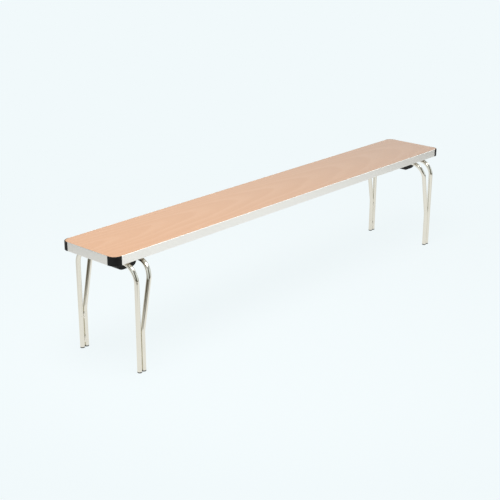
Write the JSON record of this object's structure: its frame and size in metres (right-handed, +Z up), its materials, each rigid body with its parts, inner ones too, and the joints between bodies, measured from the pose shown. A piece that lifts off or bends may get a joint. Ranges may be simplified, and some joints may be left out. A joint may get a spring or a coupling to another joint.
{
  "type": "stacking bench",
  "caption": "Long low backless bench: narrow wood-laminate seat in aluminium edging with black corner caps, on paired bent-tube hoops that join into slim legs; stacks.",
  "frame": {"origin": "on the floor, under the middle of the seat", "axes": "+X along the bench towards its right end, +Y across it towards the rear, +Z up"},
  "size_m": [1.8324, 0.298, 0.406],
  "materials": {
    "beech_laminate": "satin beech-pattern high-pressure laminate, grain along the bench",
    "plywood": "plain birch plywood, hidden",
    "backing_laminate": "matt balancing laminate",
    "rail_aluminium": "satin silver anodised extrusion",
    "cap_plastic": "black moulded plastic, fine spark texture",
    "block_plastic": "black moulded plastic",
    "chrome_tube": "bright chrome-plated steel tube",
    "glide_plastic": "dark grey moulded plastic",
    "screw_steel": "zinc-plated steel",
    "insert_brass": "plain turned brass, hidden"
  },
  "bodies": {
    "root": {"seat_laminate": "beech_laminate", "core_panel": "plywood", "underside_laminate": "backing_laminate", "front_edge_rail": "rail_aluminium", "rear_edge_rail": "rail_aluminium", "left_end_rail": "rail_aluminium", "right_end_rail": "rail_aluminium", "left_front_corner_cap": "cap_plastic", "right_front_corner_cap": "cap_plastic", "right_rear_corner_cap": "cap_plastic", "left_rear_corner_cap": "cap_plastic", "left_outer_hoop": "chrome_tube", "left_inner_hoop": "chrome_tube", "right_outer_hoop": "chrome_tube", "right_inner_hoop": "chrome_tube", "left_front_saddle": "block_plastic", "left_front_clamp_block": "block_plastic", "right_front_saddle": "block_plastic", "right_front_clamp_block": "block_plastic", "right_rear_saddle": "block_plastic", "right_rear_clamp_block": "block_plastic", "left_rear_saddle": "block_plastic", "left_rear_clamp_block": "block_plastic", "left_front_outer_glide": "glide_plastic", "left_front_inner_glide": "glide_plastic", "right_front_outer_glide": "glide_plastic", "right_front_inner_glide": "glide_plastic", "right_rear_outer_glide": "glide_plastic", "right_rear_inner_glide": "glide_plastic", "left_rear_outer_glide": "glide_plastic", "left_rear_inner_glide": "glide_plastic", "leg_welds": "chrome_tube", "clamp_screws": "screw_steel", "clamp_screw_inserts": "insert_brass", "rail_screws": "screw_steel", "corner_cap_screws": "screw_steel"}
  },
  "joints": []
}
